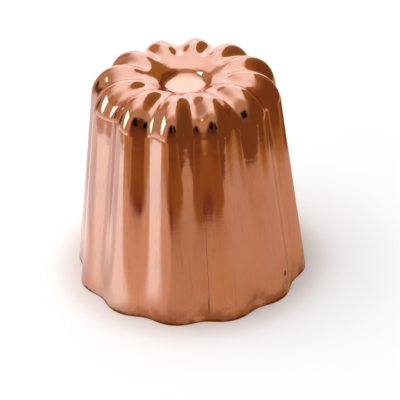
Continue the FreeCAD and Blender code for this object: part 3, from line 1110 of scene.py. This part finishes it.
def table_material(studio, group):
    def find_colour(tree):
        x, y, _ = parts_of(tree, camera_facing(tree, studio, 0.0))
        place = combine(tree, x, y, 1.0)
        colour = set_out(
            tree, group, TABLE_CARDS, studio.table_colour, place, table_edges, MILLIMETRE
        )
        # Painted shade: the table darkens towards the mould's foot.
        radius = measure(tree, "LENGTH", combine(tree, x, y, 0.0))
        shade = between(tree, radius, FOOT_OUTER, FOOT_INNER)
        shade = calc(tree, "MULTIPLY", shade, FOOT_SHADE_SHARE)
        return mixed(tree, shade, colour, opaque(FOOT_SHADE))

    return glowing("table_cards", find_colour)


def meshed(name, points, faces, material):
    """A new object from points and faces, in one material."""
    mesh = bpy.data.meshes.new(name)
    mesh.from_pydata(points, [], faces)
    mesh.materials.append(material)
    return placed(name, mesh)


def reflected(name, rings, material):
    """A round sheet of the set, from rings around the axis. Only the mould's own gloss sees it."""
    points = []
    for radius, height in rings:
        for step in range(AROUND_STEPS):
            angle = TURN * step / AROUND_STEPS
            points.append((radius * math.cos(angle), radius * math.sin(angle), height))
    faces = []
    for ring in range(len(rings) - 1):
        first = ring * AROUND_STEPS
        following = first + AROUND_STEPS
        for step in range(AROUND_STEPS):
            after = (step + 1) % AROUND_STEPS
            faces.append((first + step, first + after, following + after, following + step))
    made = meshed(name, points, faces, material)
    made.visible_camera = False
    made.visible_diffuse = False
    made.visible_shadow = False


def surroundings(studio):
    """The room's dome down to the floor and in to the table's edge, and the table itself."""
    group = card_group()
    dome = []
    for step in range(UP_STEPS + 1):
        rise = RIGHT_ANGLE * (1 - step / UP_STEPS)
        height = studio.room_reach * math.sin(rise) + TABLE_LIFT
        dome.append((studio.room_reach * math.cos(rise), height))
    dome.append((studio.table_reach, TABLE_LIFT))
    reflected("room", dome, room_material(studio, group))
    table = ((studio.table_reach, TABLE_LIFT), (0.0, TABLE_LIFT))
    reflected("table", table, table_material(studio, group))


def seen_plainly(tree):
    """1 for the rays that should see a white background: from the camera, and off gloss or glass."""
    rays = add(tree, "ShaderNodeLightPath").outputs
    total = calc(tree, "ADD", rays["Is Camera Ray"], rays["Is Glossy Ray"])
    total = calc(tree, "ADD", total, rays["Is Transmission Ray"])
    return calc(tree, "MINIMUM", total, 1.0)


def floor(studio):
    """White floor that keeps the mould's shadow, with a painted shade right around the mould, tinted
    warm as painted light bounced off the copper.
    """
    material, tree = new_material("white_floor")
    position = add(tree, "ShaderNodeTexCoord").outputs["Object"]
    away = measure(tree, "LENGTH", position)
    # Painted shade: the floor turns darker and warmer towards the mould's foot.
    near = between(tree, away, studio.painted_floor_shade_reach, FOOT_INNER)
    colour = mixed(tree, near, opaque(studio.floor_colour), opaque(studio.painted_floor_shade_colour))
    diffuse = add(tree, "ShaderNodeBsdfDiffuse", {"Color": colour})
    outwards = between(tree, away, studio.near_floor, studio.far_floor, smooth=False)
    more = studio.far_lift - studio.floor_lift
    strength = calc(tree, "MULTIPLY_ADD", outwards, more, studio.floor_lift)
    lift = add(tree, "ShaderNodeEmission", {"Color": opaque(WHITE), "Strength": strength})
    nothing = add(tree, "ShaderNodeEmission", {"Strength": 0.0})
    only_seen = add(
        tree, "ShaderNodeMixShader", {0: seen_plainly(tree), 1: nothing.outputs[0], 2: lift.outputs[0]}
    )
    both = add(tree, "ShaderNodeAddShader", {0: diffuse.outputs[0], 1: only_seen.outputs[0]})
    finish_material(tree, both)
    half = studio.floor_reach
    square = ((-half, -half, 0), (half, -half, 0), (half, half, 0), (-half, half, 0))
    made = meshed("floor", square, [(0, 1, 2, 3)], material)


def side_lamp(studio):
    """The soft lamp at the left, for the floor's shadow. The copper shows it as a card instead."""
    data = bpy.data.lights.new("side_lamp", "AREA")
    data.shape = "SQUARE"
    data.size = studio.lamp_size
    data.energy = studio.lamp_power
    made = placed("side_lamp", data)
    away = toward(studio.camera_turn, studio.lamp_side, studio.lamp_rise)
    made.location = away * studio.lamp_distance
    made.rotation_euler = away.to_track_quat("Z", "Y").to_euler()
    made.visible_glossy = False


def camera(studio):
    """The camera that matches the photograph's place, lens and tilt."""
    turn = studio.camera_turn
    right = toward(turn, RIGHT_ANGLE)
    back = toward(turn, 0.0, studio.camera_height_angle)
    up = back.cross(right)
    roll = studio.camera_roll
    target = right * studio.target_side + Vector((0, 0, studio.target_height))
    across = right * math.cos(roll) + up * math.sin(roll)
    upward = up * math.cos(roll) - right * math.sin(roll)
    data = bpy.data.cameras.new("camera")
    data.lens = studio.camera_lens
    data.clip_start = NEAREST_SEEN
    made = placed("camera", data)
    facing = Matrix((across, upward, back)).transposed().to_4x4()
    made.matrix_world = Matrix.Translation(target + back * studio.camera_distance) @ facing
    bpy.context.scene.camera = made


def white_world(context, studio):
    world = bpy.data.worlds.new("white_studio")
    world.use_nodes = True
    tree = world.node_tree
    background = tree.nodes["Background"]
    background.inputs["Color"].default_value = opaque(WHITE)
    dimmer = 1.0 - studio.world_light
    feed(
        tree, background.inputs["Strength"],
        calc(tree, "MULTIPLY_ADD", seen_plainly(tree), dimmer, studio.world_light),
    )
    context.scene.world = world


class MOULD_OT_studio(bpy.types.Operator):
    """Sets up the floor, the cards that the copper reflects, the light and the camera"""

    bl_idname = "mould.studio"
    bl_label = "Studio"

    def execute(self, context):
        studio = context.scene.studio_set
        white_world(context, studio)
        floor(studio)
        side_lamp(studio)
        surroundings(studio)
        camera(studio)
        context.scene.view_settings.view_transform = "Standard"
        return {"FINISHED"}


class MOULD_PT_panel(bpy.types.Panel):
    """Sizes, finishes and the steps that build the mould and its studio"""

    bl_idname = "MOULD_PT_panel"
    bl_label = "Fluted mould"
    bl_space_type = "VIEW_3D"
    bl_region_type = "UI"
    bl_category = "Mould"

    def draw(self, context):
        for group in (
            context.scene.mould_sizes, context.scene.copper_finish, context.scene.studio_set
        ):
            box = self.layout.box()
            for name in group.__annotations__:
                box.prop(group, name)
        for operator in OPERATORS:
            self.layout.operator(operator.bl_idname)


OPERATORS = (MOULD_OT_shell, MOULD_OT_studio)
CLASSES = (MouldSizes, CopperFinish, StudioSet, *OPERATORS, MOULD_PT_panel)


def register():
    for item in CLASSES:
        bpy.utils.register_class(item)
    bpy.types.Scene.mould_sizes = bpy.props.PointerProperty(type=MouldSizes)
    bpy.types.Scene.copper_finish = bpy.props.PointerProperty(type=CopperFinish)
    bpy.types.Scene.studio_set = bpy.props.PointerProperty(type=StudioSet)


def unregister():
    del bpy.types.Scene.studio_set
    del bpy.types.Scene.copper_finish
    del bpy.types.Scene.mould_sizes
    for item in reversed(CLASSES):
        bpy.utils.unregister_class(item)


def main():
    register()
    bpy.ops.mould.shell()
    bpy.ops.mould.studio()


if __name__ == "__main__":
    main()
